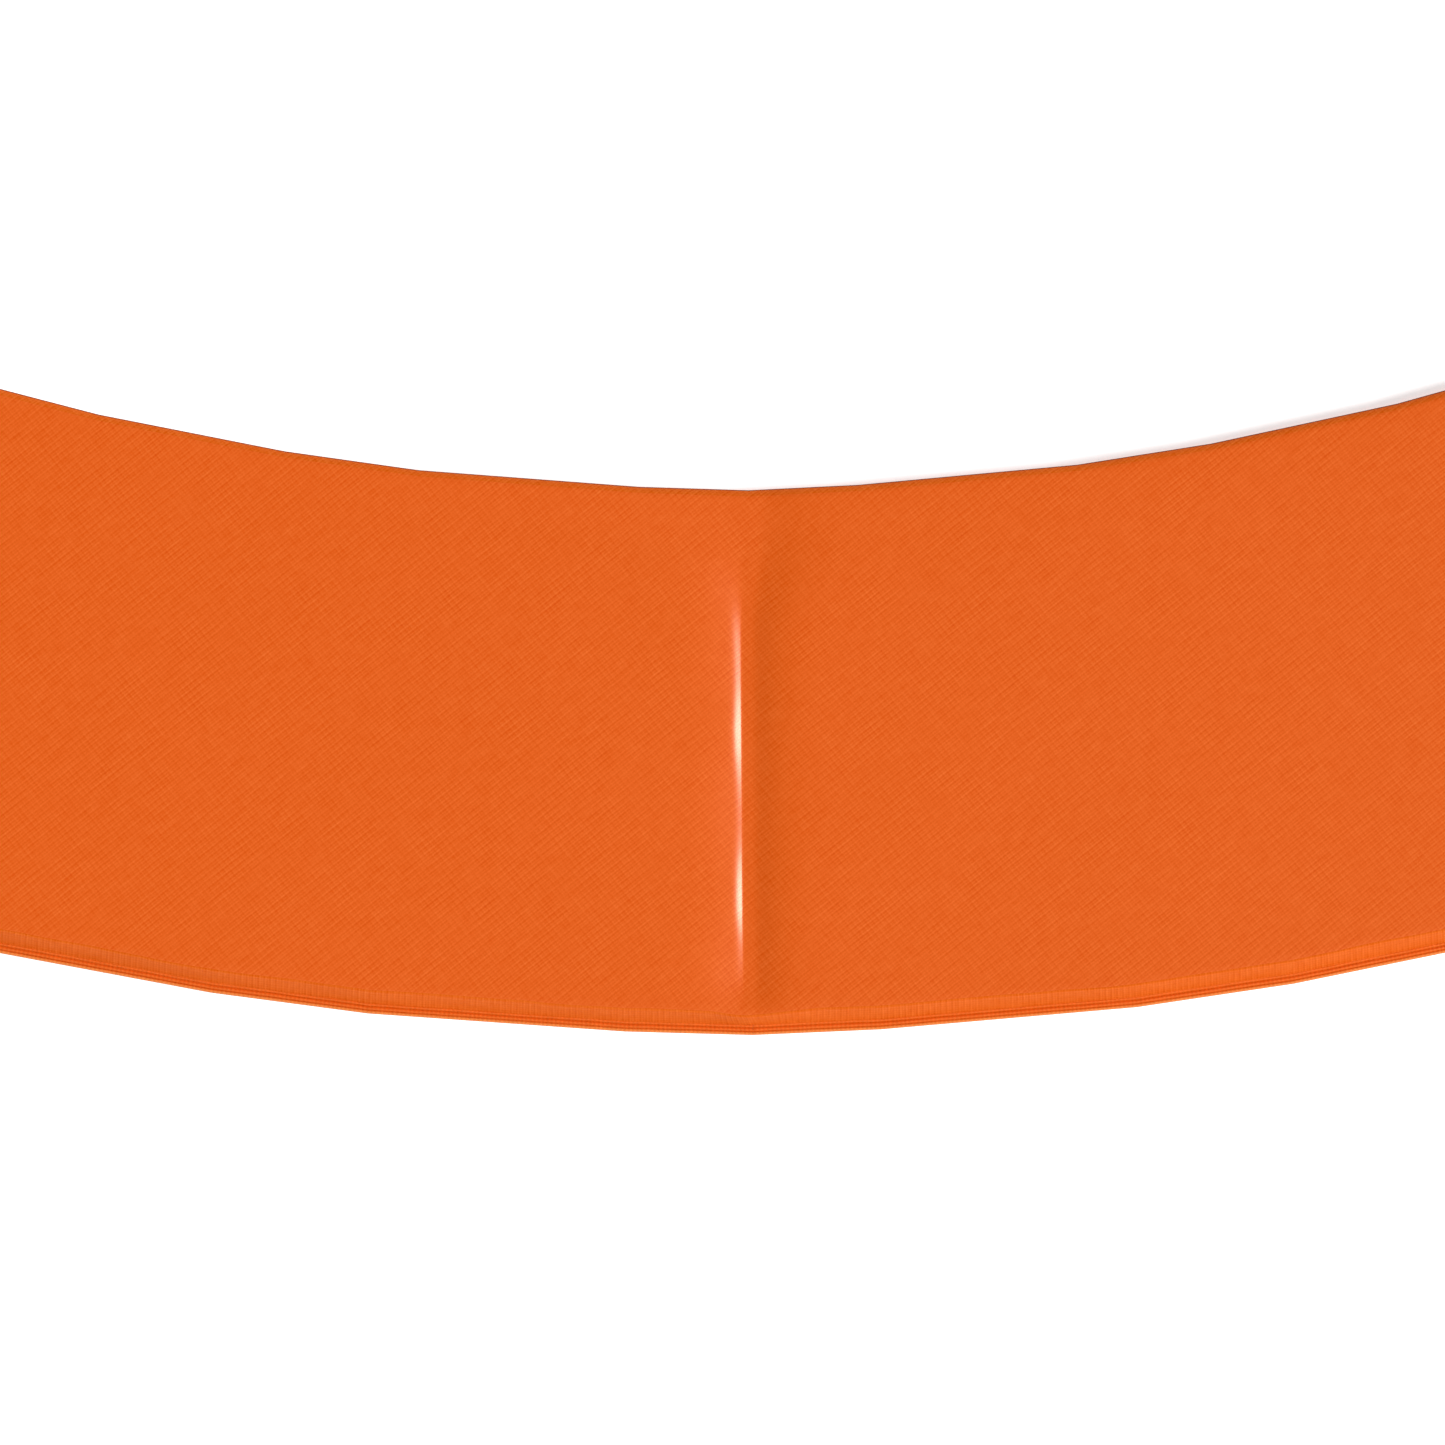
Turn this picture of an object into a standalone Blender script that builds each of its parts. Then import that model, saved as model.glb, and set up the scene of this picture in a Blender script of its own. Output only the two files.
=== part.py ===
"""Round safety pad that lies over the springs of a 12 ft trampoline.

Eight padded segments stand side by side in a ring. Each is a foam core between a top and a
bottom cover of coated tarpaulin, closed along its outer edge by a bound hem. An elastic strap
with a hook hangs from a sewn tack under each segment. The ring folds in half, top to top,
about the two seams that lie on the Y axis. Metres, +Z up, origin on the floor at the centre.
"""

import math

import bmesh
import bpy
from mathutils import Vector

# ---- driving dimensions ------------------------------------------------------------------
SEGMENTS = 8
OUTER_RADIUS = 1.8300  # hem, at a seam
INNER_RADIUS = 1.5643  # inner edge, at a seam
OUTER_BOW = 0.0044  # half of what the hem's radius loses from a seam to a segment's middle
INNER_BOW = 0.0057
SEAM_PINCH = 0.0010  # the seam's own corner stands out by this much more
CORNER_ANGLES = (1.95, 5.89, 8.31, 11.71, 15.30, 18.90, 22.50)  # degrees from the seam

PAD_HEIGHT = 0.0180
SHEET = 0.0008  # thickness of one layer of cover
CLEARANCE = 0.0004  # between two pieces that touch
SEAM_GAP = 0.0002  # from the seam's plane to each segment's end
# The top dips to the sewn seam: distance from the seam, height of the top there
SHOULDER = ((SEAM_GAP, 0.0125), (0.0040, 0.0145), (0.0120, 0.0166), (0.0260, PAD_HEIGHT))

EDGE_ROUND = 0.0012  # inner edge's rounding
CREASE_INSET = 0.0112  # top of the slanted outer wall, in from the hem
SEAM_CREASE_INSET = 0.0093
WALL_FOOT_INSET = 0.0052
FLANGE_END_INSET = 0.0010
TOP_FLANGE_Z = 0.0029
BOTTOM_FLANGE_Z = 0.0010
JOGGLE_INSET = 0.0050  # where the bottom cover has risen to its flange
JOGGLE_RUN = 0.0010
CORE_FOOT_INSET = 0.0082

HEM_WIDTH = 0.0045
HEM_LOW, HEM_HIGH = 0.0003, 0.0037
HEM_SLOT_LOW, HEM_SLOT_HIGH = 0.0007, 0.0032
HEM_WALL = 0.0007

POCKET_DEPTH = 0.0052  # the strap lies in this recess under the pad
POCKET_HALF_WIDTH = 0.0145
POCKET_SLOPE = 0.0070
POCKET_OUTER_INSET = 0.0420
POCKET_INNER_INSET = 0.2320

PIVOT_INSET = 0.0711  # the strap's sewn edge, in from the hem
PIVOT_Z = 0.0028
TACK_LENGTH = 0.0246
TACK_GAP = 0.0015
TACK_LOW, TACK_HIGH = 0.0024, 0.0049
STRAP_WIDTH = 0.0250
STRAP_LENGTH = 0.1200
STRAP_THICKNESS = 0.0016
PIECE_GAP = 0.0003
HOOK_WIDTH = 0.0260
HOOK_PLATE = 0.0110
HOOK_THICKNESS = 0.0040
HOOK_Z = 0.0026
HOOK_CENTRE = 0.0265  # ring's centre, from the plate's edge
HOOK_OUTER, HOOK_INNER = 0.0110, 0.0055
WEBBING_SLOT = (0.0030, 0.0062, 0.0105)  # start, end, half width

ORANGE = (0.80, 0.127, 0.017, 1.0)
HEM_ORANGE = (0.72, 0.105, 0.014, 1.0)
FOAM_WHITE = (0.86, 0.86, 0.83, 1.0)
BLACK = (0.020, 0.020, 0.022, 1.0)

SEGMENT_ANGLE = 360.0 / SEGMENTS
HALF_ANGLE = SEGMENT_ANGLE / 2


# ---- helpers -----------------------------------------------------------------------------
def make_material(name, colour, roughness):
    material = bpy.data.materials.new(name)
    material.use_nodes = True
    shader = material.node_tree.nodes["Principled BSDF"]
    shader.inputs["Base Color"].default_value = colour
    shader.inputs["Roughness"].default_value = roughness
    shader.inputs["Metallic"].default_value = 0.0
    return material


def add_object(name, data, collection, colour, roughness, turn=0.0, place=(0, 0, 0)):
    """Puts one named piece in the scene, turned about +Z, with its own material."""
    piece = bpy.data.objects.new(name, data)
    data.materials.append(make_material(name, colour, roughness))
    piece.rotation_euler = (0, 0, turn)
    piece.location = place
    collection.objects.link(piece)
    return piece


def loft(name, sections):
    """A closed mesh through sections with equal numbers of points.

    Every four-sided face is split from its near inner corner to its far outer one, so that
    layers that lie on each other bend along the same lines.
    """
    shape = bmesh.new()
    rings = [[shape.verts.new(point) for point in section] for section in sections]
    count = len(rings[0])
    for near, far in zip(rings, rings[1:]):
        for i in range(count):
            j = (i + 1) % count
            if near[i].co.xy.length > near[j].co.xy.length:
                i, j = j, i
            shape.faces.new((near[i], near[j], far[j]))
            shape.faces.new((near[i], far[j], far[i]))
    shape.faces.new(rings[0])
    shape.faces.new(rings[-1])
    bmesh.ops.recalc_face_normals(shape, faces=shape.faces)
    mesh = bpy.data.meshes.new(name)
    shape.to_mesh(mesh)
    shape.free()
    return mesh


def block(name, low, high):
    """A box from its lowest to its highest corner."""
    low, high = Vector(low), Vector(high)
    shape = bmesh.new()
    bmesh.ops.create_cube(shape, size=1.0)
    bmesh.ops.scale(shape, vec=high - low, verts=shape.verts)
    bmesh.ops.translate(shape, vec=(low + high) / 2, verts=shape.verts)
    mesh = bpy.data.meshes.new(name)
    shape.to_mesh(mesh)
    shape.free()
    return mesh


# ---- plan of one segment, its middle on +X, its first seam at -HALF_ANGLE -------------------
def rim_corner(radius, bow, from_seam):
    """A corner of the polygonal edge, given its angle from the seam in degrees."""
    wave = 1 - math.cos(math.radians(from_seam * SEGMENTS))
    pinch = SEAM_PINCH if from_seam > 0 else 0.0
    reach = radius - bow * wave - pinch
    angle = math.radians(from_seam - HALF_ANGLE)
    return Vector((reach * math.cos(angle), reach * math.sin(angle), 0))


def at_distance(start, end, normal, distance):
    """The point of a straight edge at a given distance along normal."""
    low, high = normal.dot(start), normal.dot(end)
    return start.lerp(end, (distance - low) / (high - low))


def half_stations():
    """(inner point, outer point, top height, crease inset, pocket) from the seam to the middle."""
    inner = [rim_corner(INNER_RADIUS, INNER_BOW, a) for a in (0, *CORNER_ANGLES)]
    outer = [rim_corner(OUTER_RADIUS, OUTER_BOW, a) for a in (0, *CORNER_ANGLES)]
    seam = math.radians(-HALF_ANGLE)
    seam_normal = Vector((-math.sin(seam), math.cos(seam), 0))
    stations = []
    for step, (distance, height) in enumerate(SHOULDER):
        share = step / (len(SHOULDER) - 1)
        crease = SEAM_CREASE_INSET + (CREASE_INSET - SEAM_CREASE_INSET) * share
        ends = [at_distance(e[0], e[1], seam_normal, distance) for e in (inner, outer)]
        stations.append((*ends, height, crease, 0.0))
    for corner in range(1, len(CORNER_ANGLES)):
        stations.append((inner[corner], outer[corner], PAD_HEIGHT, CREASE_INSET, 0.0))
    across = Vector((0, 1, 0))
    edges = ((POCKET_HALF_WIDTH + POCKET_SLOPE, 0.0), (POCKET_HALF_WIDTH, POCKET_DEPTH))
    for away, depth in edges:
        ends = [at_distance(e[-2], e[-1], across, -away) for e in (inner, outer)]
        stations.append((*ends, PAD_HEIGHT, CREASE_INSET, depth))
    return stations


def whole_stations():
    """Both halves of a segment, seam to seam."""
    first = half_stations()
    mirrored = [
        (Vector((i.x, -i.y, 0)), Vector((o.x, -o.y, 0)), *rest) for i, o, *rest in first
    ]
    middle_ends = [
        rim_corner(INNER_RADIUS, INNER_BOW, HALF_ANGLE),
        rim_corner(OUTER_RADIUS, OUTER_BOW, HALF_ANGLE),
    ]
    middle = (*middle_ends, PAD_HEIGHT, CREASE_INSET, POCKET_DEPTH)
    return [*first, middle, *reversed(mirrored)]


# ---- cross-sections: (distance from the inner edge, height) ---------------------------------
def top_cover_profile(width, top, crease, _pocket):
    under = top - SHEET
    flange_under = TOP_FLANGE_Z - SHEET
    foot = SHEET + CLEARANCE
    return [
        (0, foot),
        (0, top - EDGE_ROUND),
        (EDGE_ROUND, top),
        (width - crease, top),
        (width - WALL_FOOT_INSET, TOP_FLANGE_Z),
        (width - FLANGE_END_INSET, TOP_FLANGE_Z),
        (width - FLANGE_END_INSET, flange_under),
        (width - WALL_FOOT_INSET - SHEET, flange_under),
        (width - crease - SHEET / 2, under),
        (EDGE_ROUND + SHEET / 2, under),
        (SHEET, under - EDGE_ROUND / 2),
        (SHEET, foot),
    ]


def pocket_points(width, base, depth):
    """The recess for the strap, as points of a line that is otherwise at height base."""
    low = width - POCKET_INNER_INSET
    high = width - POCKET_OUTER_INSET
    return [
        (low - POCKET_SLOPE, base),
        (low, base + depth),
        (high, base + depth),
        (high + POCKET_SLOPE, base),
    ]


def bottom_cover_profile(width, _top, _crease, pocket):
    upper_flange = BOTTOM_FLANGE_Z + SHEET
    joggle = width - JOGGLE_INSET
    lower = [(0, 0), *pocket_points(width, 0, pocket), (joggle - JOGGLE_RUN, 0)]
    upper = [(0, SHEET), *pocket_points(width, SHEET, pocket), (joggle - JOGGLE_RUN, SHEET)]
    return [
        *lower,
        (joggle, BOTTOM_FLANGE_Z),
        (width - FLANGE_END_INSET, BOTTOM_FLANGE_Z),
        (width - FLANGE_END_INSET, upper_flange),
        (joggle - SHEET / 4, upper_flange),
        *reversed(upper),
    ]


def core_profile(width, top, crease, pocket):
    low = SHEET + CLEARANCE
    high = top - SHEET - CLEARANCE
    side = SHEET + CLEARANCE
    return [
        (side, low),
        *pocket_points(width, low, pocket),
        (width - CORE_FOOT_INSET, low),
        (width - crease - SHEET - CLEARANCE, high),
        (side + EDGE_ROUND, high),
        (side, high - EDGE_ROUND),
    ]


def hem_profile(width, _top, _crease, _pocket):
    opening = width - HEM_WIDTH
    slot_end = width - HEM_WALL
    return [
        (opening, HEM_LOW),
        (width, HEM_LOW),
        (width, HEM_HIGH),
        (opening, HEM_HIGH),
        (opening, HEM_SLOT_HIGH),
        (slot_end, HEM_SLOT_HIGH),
        (slot_end, HEM_SLOT_LOW),
        (opening, HEM_SLOT_LOW),
    ]


def segment_mesh(name, profile, stations):
    sections = []
    for inner, outer, top, crease, pocket in stations:
        width = (outer - inner).length
        across = (outer - inner).normalized()
        outline = profile(width, top, crease, pocket)
        sections.append([inner + across * s + Vector((0, 0, z)) for s, z in outline])
    return loft(name, sections)


# ---- strap, its tack and its hook: +X points outward, the origin is on the hinge --------------
def tack_mesh():
    start = TACK_GAP
    low = (start, -STRAP_WIDTH / 2, TACK_LOW - PIVOT_Z)
    high = (start + TACK_LENGTH, STRAP_WIDTH / 2, TACK_HIGH - PIVOT_Z)
    return block("strap_tack", low, high)


def strap_mesh():
    low = (-STRAP_LENGTH, -STRAP_WIDTH / 2, -STRAP_THICKNESS / 2)
    high = (-PIECE_GAP, STRAP_WIDTH / 2, STRAP_THICKNESS / 2)
    return block("elastic_strap", low, high)


def arc(centre, radius, first, last, steps):
    """Points on a circle, angles in degrees from the way the hook points."""
    points = []
    for i in range(steps + 1):
        angle = math.radians(first + (last - first) * i / steps)
        points.append((centre + radius * math.cos(angle), radius * math.sin(angle)))
    return points


def hook_curve():
    """A flat hook: a plate with a slot for the webbing, and an open ring."""
    edge = HOOK_WIDTH / 2
    outline = [(0, -edge), (0, edge), (HOOK_PLATE, edge)]
    outline += arc(HOOK_CENTRE, HOOK_OUTER, 140, -75, 16)
    outline += arc(HOOK_CENTRE, HOOK_INNER, -75, 220, 16)
    outline += [(HOOK_PLATE, -edge)]
    start, end, half = WEBBING_SLOT
    slot = [(start, -half), (start, half), (end, half), (end, -half)]
    curve = bpy.data.curves.new("strap_hook", "CURVE")
    curve.dimensions = "2D"
    curve.fill_mode = "BOTH"
    curve.extrude = HOOK_THICKNESS / 2
    begin = -(STRAP_LENGTH + PIECE_GAP)
    for points in (outline, slot):
        spline = curve.splines.new("POLY")
        spline.points.add(len(points) - 1)
        for target, (along, sideways) in zip(spline.points, points):
            target.co = (begin - along, sideways, 0, 1)
        spline.use_cyclic_u = True
    return curve


# ---- assembly ----------------------------------------------------------------------------
def build_segment(number, middle, stations, collection):
    """Core, covers and hem of one segment, whose middle is at this angle in radians."""
    core_stations = stations[1:-1]
    layers = (
        ("bottom_cover", bottom_cover_profile, stations, ORANGE, 0.45),
        ("foam_core", core_profile, core_stations, FOAM_WHITE, 0.80),
        ("top_cover", top_cover_profile, stations, ORANGE, 0.35),
        ("hem_binding", hem_profile, stations, HEM_ORANGE, 0.45),
    )
    for kind, profile, along, colour, roughness in layers:
        name = f"{kind}_{number}"
        add_object(name, segment_mesh(name, profile, along), collection, colour, roughness, middle)


def build_strap(number, middle, meshes, collection):
    """The sewn tack stays with the pad, and the strap and its hook swing on the pivot."""
    reach = rim_corner(OUTER_RADIUS, OUTER_BOW, HALF_ANGLE).length - PIVOT_INSET
    place = (reach * math.cos(middle), reach * math.sin(middle), PIVOT_Z)
    pivot = bpy.data.objects.new(f"strap_pivot_{number}", None)
    pivot.location = place
    pivot.rotation_euler = (0, 0, middle)
    collection.objects.link(pivot)
    tack, strap, hook = (mesh.copy() for mesh in meshes)
    add_object(f"strap_tack_{number}", tack, collection, BLACK, 0.80, middle, place)
    free = add_object(f"elastic_strap_{number}", strap, collection, BLACK, 0.85)
    end = add_object(f"strap_hook_{number}", hook, collection, BLACK, 0.45)
    end.location = (0, 0, HOOK_Z - PIVOT_Z)
    free.parent = pivot
    end.parent = pivot


def main():
    for old in list(bpy.data.objects):
        bpy.data.objects.remove(old, do_unlink=True)
    collection = bpy.data.collections.new("trampoline_safety_pad")
    bpy.context.scene.collection.children.link(collection)
    stations = whole_stations()
    strap_parts = (tack_mesh(), strap_mesh(), hook_curve())
    first_middle = math.radians(-90 + HALF_ANGLE)
    for number in range(1, SEGMENTS + 1):
        middle = first_middle + math.radians(SEGMENT_ANGLE) * (number - 1)
        build_segment(number, middle, stations, collection)
        build_strap(number, middle, strap_parts, collection)


main()
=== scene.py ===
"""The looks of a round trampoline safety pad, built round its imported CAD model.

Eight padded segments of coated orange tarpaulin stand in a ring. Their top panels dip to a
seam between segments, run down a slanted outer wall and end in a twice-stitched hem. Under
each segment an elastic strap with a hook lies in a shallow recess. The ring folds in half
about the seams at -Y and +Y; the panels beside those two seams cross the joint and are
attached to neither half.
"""

import math

import bpy
import numpy as np
from mathutils import Matrix, Vector


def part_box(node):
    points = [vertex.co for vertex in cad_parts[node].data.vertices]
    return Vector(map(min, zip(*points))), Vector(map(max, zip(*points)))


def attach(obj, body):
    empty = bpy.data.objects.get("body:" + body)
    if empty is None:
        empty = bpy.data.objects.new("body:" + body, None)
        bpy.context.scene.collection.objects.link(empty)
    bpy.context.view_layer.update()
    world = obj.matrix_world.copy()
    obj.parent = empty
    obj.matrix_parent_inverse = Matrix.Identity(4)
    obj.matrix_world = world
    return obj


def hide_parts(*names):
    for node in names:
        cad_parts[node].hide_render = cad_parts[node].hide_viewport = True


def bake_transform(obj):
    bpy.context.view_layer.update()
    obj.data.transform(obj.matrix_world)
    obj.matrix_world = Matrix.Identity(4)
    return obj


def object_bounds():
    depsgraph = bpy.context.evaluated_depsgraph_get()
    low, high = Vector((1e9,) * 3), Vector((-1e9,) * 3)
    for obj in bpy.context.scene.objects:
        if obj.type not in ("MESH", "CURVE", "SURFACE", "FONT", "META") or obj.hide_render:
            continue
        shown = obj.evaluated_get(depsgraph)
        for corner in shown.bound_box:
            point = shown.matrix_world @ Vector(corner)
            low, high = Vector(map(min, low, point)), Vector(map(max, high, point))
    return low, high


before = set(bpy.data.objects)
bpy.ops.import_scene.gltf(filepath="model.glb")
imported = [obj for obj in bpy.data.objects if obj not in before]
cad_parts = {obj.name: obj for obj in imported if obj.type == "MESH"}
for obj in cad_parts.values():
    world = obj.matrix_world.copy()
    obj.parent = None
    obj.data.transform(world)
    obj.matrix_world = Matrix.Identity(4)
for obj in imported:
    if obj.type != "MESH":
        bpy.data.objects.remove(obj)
cad_low, cad_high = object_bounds()

# ---- sizes, in metres ----------------------------------------------------------------------
SEGMENTS = 8
HALF_ANGLE = 180.0 / SEGMENTS
OUTER_RADIUS = cad_high.x  # hem, at a seam
INNER_RADIUS = 1.5643  # inner edge, at a seam
OUTER_BOW, INNER_BOW = 0.0044, 0.0057  # half of what a radius loses towards a segment's middle
SEAM_PINCH = 0.0010  # the seam's own corner stands out by this much
CORNER_ANGLES = (0.0, 1.95, 5.89, 8.31, 11.71, 15.30, 18.90, 22.50)  # degrees from a seam

PAD_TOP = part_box("top_cover_1")[1].z
SHEET = 0.0008
SEAM_DEPTH = 0.0029  # the groove between two segments
AFTER_REACH, BEFORE_REACH = 0.0058, 0.0068  # how fast the soft shoulders climb
AFTER_START, BEFORE_START = 0.0056, 0.0004  # width of the groove's flat bottom
SHOULDER_SPAN = 0.050  # rows of points crowd together within this distance of a seam
STEEP_SLOPE = 0.424  # of the tight shoulder before a seam
STEEP_ROUND = 0.0010  # rounding where it starts
TAIL_REACH, TAIL_FADE = 0.0006, 0.0070  # how the groove bottoms out after a seam
# The tight shoulder: distance from the inner edge, share of the full slope, length
TIGHTNESS = (
    (0.049, 0.00, 0.0045),
    (0.057, 0.42, 0.0045),
    (0.064, 0.62, 0.0041),
    (0.073, 0.70, 0.0035),
    (0.083, 0.76, 0.0032),
    (0.092, 0.74, 0.0029),
    (0.102, 0.87, 0.0032),
    (0.112, 0.95, 0.0037),
    (0.122, 0.97, 0.0039),
    (0.131, 0.86, 0.0030),
    (0.143, 0.82, 0.0022),
    (0.156, 0.73, 0.0022),
    (0.165, 0.62, 0.0020),
    (0.175, 0.83, 0.0024),
    (0.185, 0.88, 0.0031),
    (0.204, 0.95, 0.0033),
    (0.214, 0.82, 0.0024),
    (0.224, 0.68, 0.0021),
    (0.234, 0.52, 0.0021),
    (0.246, 0.20, 0.0021),
    (0.254, 0.00, 0.0021),
)
CREASE_SHIFT = 0.00455  # the crease lies this far before the seam's plane
CREASE_SHIFT_FADE = 0.016
EDGE_ROUND_IN, EDGE_ROUND_DOWN = 0.0050, 0.0040  # the inner edge's rounding
WALL_BOTTOM = 0.0011
CREASE_INSET, SEAM_CREASE_INSET = 0.0112, 0.0093  # top of the slanted outer wall, from the hem
CREASE_ROUND, CREASE_DROP = 0.0009, 0.0010
CREASE_WANDER = 0.0006
CREASE_SETTLE = 0.03
WALL_FOOT_INSET, WALL_FOOT_Z = 0.0047, 0.0032
WALL_BULGE, WALL_UNEVEN = 0.0001, 0.0002
FLANGE_END_INSET = 0.0012
CROWN = 0.0006  # how much fuller the top is in the middle of its width
EDGE_SAG, EDGE_SAG_REACH = 0.0005, 0.008  # how the top falls off at its inner edge
MARGIN = 0.0007  # room for the crown and the unevenness, under the pad's full height
TOP_UNEVEN, UNDERSIDE_UNEVEN = 0.00012, 0.00018
INNER_WALL_COLUMNS = 7  # faces of the inner wall and the start of its rounding, in each row; these get the darkest painted shade
INNER_EDGE_COLUMNS = 11  # the same, with the whole rounding; the rounding past the inner wall gets the walls' painted shade

# The underside: how it turns up at the inner edge (distance from there, height), where its
# flat part ends, and how it rises to the flange in the hem (distance from the hem, height)
UNDERSIDE_START = ((0.0, 0.0011), (0.0004, 0.0006), (0.0012, 0.00022), (0.0026, 0.00005))
UNDERSIDE_END = 0.0062
FLANGE_RISE = ((0.0055, 0.0006), (0.0050, 0.0010), (FLANGE_END_INSET, 0.0011))

POCKET_DEPTH = 0.0052  # the recess under each strap
POCKET_HALF_WIDTH, POCKET_SLOPE = 0.0145, 0.0070
POCKET_OUTER, POCKET_INNER = 0.0420, 0.2320  # in from the hem

PIVOT_INSET, PIVOT_Z = 0.0711, 0.0028  # the strap's sewn edge
STRAP_WIDTH, STRAP_THICKNESS = 0.0250, 0.0012
TACK_THICKNESS, TACK_FOLD_THICKNESS = 0.0016, 0.0011
HOOK_BAR = -0.1205  # where the strap turns round its hook, from the sewn edge
STITCH_PITCH, STITCH_RADIUS, STITCH_RISE = 0.0026, 0.00022, 0.0001
STITCH_INSET = 0.0035  # from the strap's edges
STITCH_SIDES = 6
HOOK_Z = -0.0002
LOOP_RADIUS, RING_RADIUS = 1.15, 2.1  # of the hook's rods, in millimetres

WEAVE_ANGLE = math.radians(37.4)
TAPE_ACROSS, TAPE_ALONG = 0.001445, 0.00136  # width of one tape of the weave, each way
RIB_PITCH, KNIT_PITCH = 0.0021, 0.0013  # of the hem tape and the elastic

ORANGE = (0.770, 0.1140, 0.0085)
# A darker copy of the orange for the walls and the inner edge's rounding: painted shade
SHADED_WALL_ORANGE = (0.680, 0.1120, 0.0080)
# The hem tape's orange is the cover's, made a little lighter against the shade at the wall's
# foot: painted light
# The hem's outermost ridge gets a much lighter orange: a painted highlight
LIT_HEM_ORANGE, RIDGE_HIGHLIGHT_ORANGE = (0.765, 0.126, 0.0078), (0.80, 0.215, 0.0380)
# The first share darkens the orange on the inner wall: painted shade
INNER_WALL_SHADE_SHARE, UNDER_SHADE = 0.30, 0.92
BLACK_ELASTIC, BLACK_PLASTIC = (0.022, 0.022, 0.024), (0.020, 0.020, 0.022)
BLACK_THREAD = (0.05, 0.05, 0.05)
FOAM_WHITE = (0.86, 0.86, 0.83)
WEAVE_TINT = (0.84, 0.42, 0.135)  # colour that a full thread adds
GLOSS_TINT = (1.0, 0.98, 0.80, 1.0)
# Uneven threads: fineness along and across the tapes, depth
SLUBS = ((90.0, 680.0, 0.050), (450.0, 120.0, 0.030), (1300.0, 1300.0, 0.065))
RIGHT, LEFT = "right_half", "left_half"

# ---- room and camera: strengths, then angles in degrees -----------------------------------
HORIZON_LIGHT, OVERHEAD_LIGHT, BELOW_LIGHT = 1.15, 0.12, 0.10
LEAN_X, LEAN_Y = 0.50, -0.28  # how much brighter the room is towards +X and towards +Y
REFLECTION_LOSS = 0.75  # share of the room's light that reflections don't see
SUN_ENERGY, SUN_WIDTH = 2.80, 17
SUN_FROM_ZENITH, SUN_FROM_X = 46, -7
FLOOR_SIZE, FLOOR_Z, FLOOR_GLOW = 60.0, -0.0005, 0.55
CAMERA_X, CAMERA_Y, CAMERA_TURN = -0.0135, -1.6773, -0.474
SEEN_WIDTH, SENSOR, LENS = 0.7028, 36.0, 250.0  # metres at the pad's top, then millimetres


# ---- plan of the ring ------------------------------------------------------------------------
def corner_line(radius, bow):
    """The corners of one segment's polygonal edge, its middle on +X."""
    half = []
    for from_seam in CORNER_ANGLES:
        wave = 1 - math.cos(math.radians(from_seam * SEGMENTS))
        reach = radius - bow * wave - (SEAM_PINCH if from_seam else 0.0)
        angle = math.radians(from_seam - HALF_ANGLE)
        half.append((reach * math.cos(angle), reach * math.sin(angle)))
    half = np.array(half)
    return np.concatenate([half, half[-2::-1] * (1, -1)])


INNER_CORNERS = corner_line(INNER_RADIUS, INNER_BOW)
OUTER_CORNERS = corner_line(OUTER_RADIUS, OUTER_BOW)
HALF = math.radians(HALF_ANGLE)
START_NORMAL = np.array((math.sin(HALF), math.cos(HALF)))
END_NORMAL = START_NORMAL * (1, -1)
MIDDLE_REACH = OUTER_CORNERS[len(CORNER_ANGLES) - 1][0]


def shoulder_distances(count):
    """Distances from a seam, close together next to it."""
    crowding = 3.4
    steps = np.linspace(0, 1, count)
    return SHOULDER_SPAN * np.expm1(crowding * steps) / math.expm1(crowding)


def segment_stations(shoulder_steps, chord_step, pocket=False):
    """Pairs of points on the inner and outer edges, from seam to seam."""
    inner, outer = [], []

    def add(first, last, fractions_in, fractions_out):
        for low, high, fractions, out in (
            (INNER_CORNERS[first], INNER_CORNERS[last], fractions_in, inner),
            (OUTER_CORNERS[first], OUTER_CORNERS[last], fractions_out, outer),
        ):
            out.extend(low + (high - low) * f for f in fractions)

    distances = shoulder_distances(shoulder_steps)
    near_in = distances / (INNER_CORNERS[1] @ START_NORMAL)
    near_out = distances / (OUTER_CORNERS[1] @ START_NORMAL)
    add(0, 1, near_in, near_out)
    last = len(INNER_CORNERS) - 1
    for chord in range(1, last - 1):
        length = np.linalg.norm(OUTER_CORNERS[chord + 1] - OUTER_CORNERS[chord])
        finer = 3 if pocket and abs(chord + 0.5 - last / 2) < 1 else 1
        count = max(2, round(length / chord_step)) * finer
        fractions = np.arange(count) / count
        add(chord, chord + 1, fractions, fractions)
    add(last, last - 1, near_in[::-1], near_out[::-1])
    inner.insert(-shoulder_steps, INNER_CORNERS[last - 1])
    outer.insert(-shoulder_steps, OUTER_CORNERS[last - 1])
    return np.array(inner), np.array(outer)


def bearing(number):
    """The direction of a segment's middle, from +X. Segment 1 starts at the seam on -Y."""
    return math.radians(-90 + HALF_ANGLE + 2 * HALF_ANGLE * (number - 1))


def turned(points, number):
    """Points of the segment on +X, carried to where segment number stands."""
    c, s = math.cos(bearing(number)), math.sin(bearing(number))
    out = np.array(points, float)
    out[..., 0] = points[..., 0] * c - points[..., 1] * s
    out[..., 1] = points[..., 0] * s + points[..., 1] * c
    return out


def running_length(points):
    """Distance along a line of points, from its start."""
    steps = np.linalg.norm(np.diff(points, axis=0), axis=1)
    return np.concatenate([[0], np.cumsum(steps)])


def spans(inner, outer):
    """The pad's width at each station, and the direction from its inner edge outward."""
    width = np.linalg.norm(outer - inner, axis=1)[:, None]
    return width, (outer - inner) / width


def lay_out(inner, way, across):
    """Plan points at distances from the inner edge."""
    return inner[:, None, :] + way[:, None, :] * across[..., None]


# ---- shape of the pad --------------------------------------------------------------------
def ease(value, start, end):
    """0 before start, 1 after end, smooth between."""
    t = np.clip((value - start) / (end - start), 0, 1)
    return t * t * (3 - 2 * t)


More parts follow.
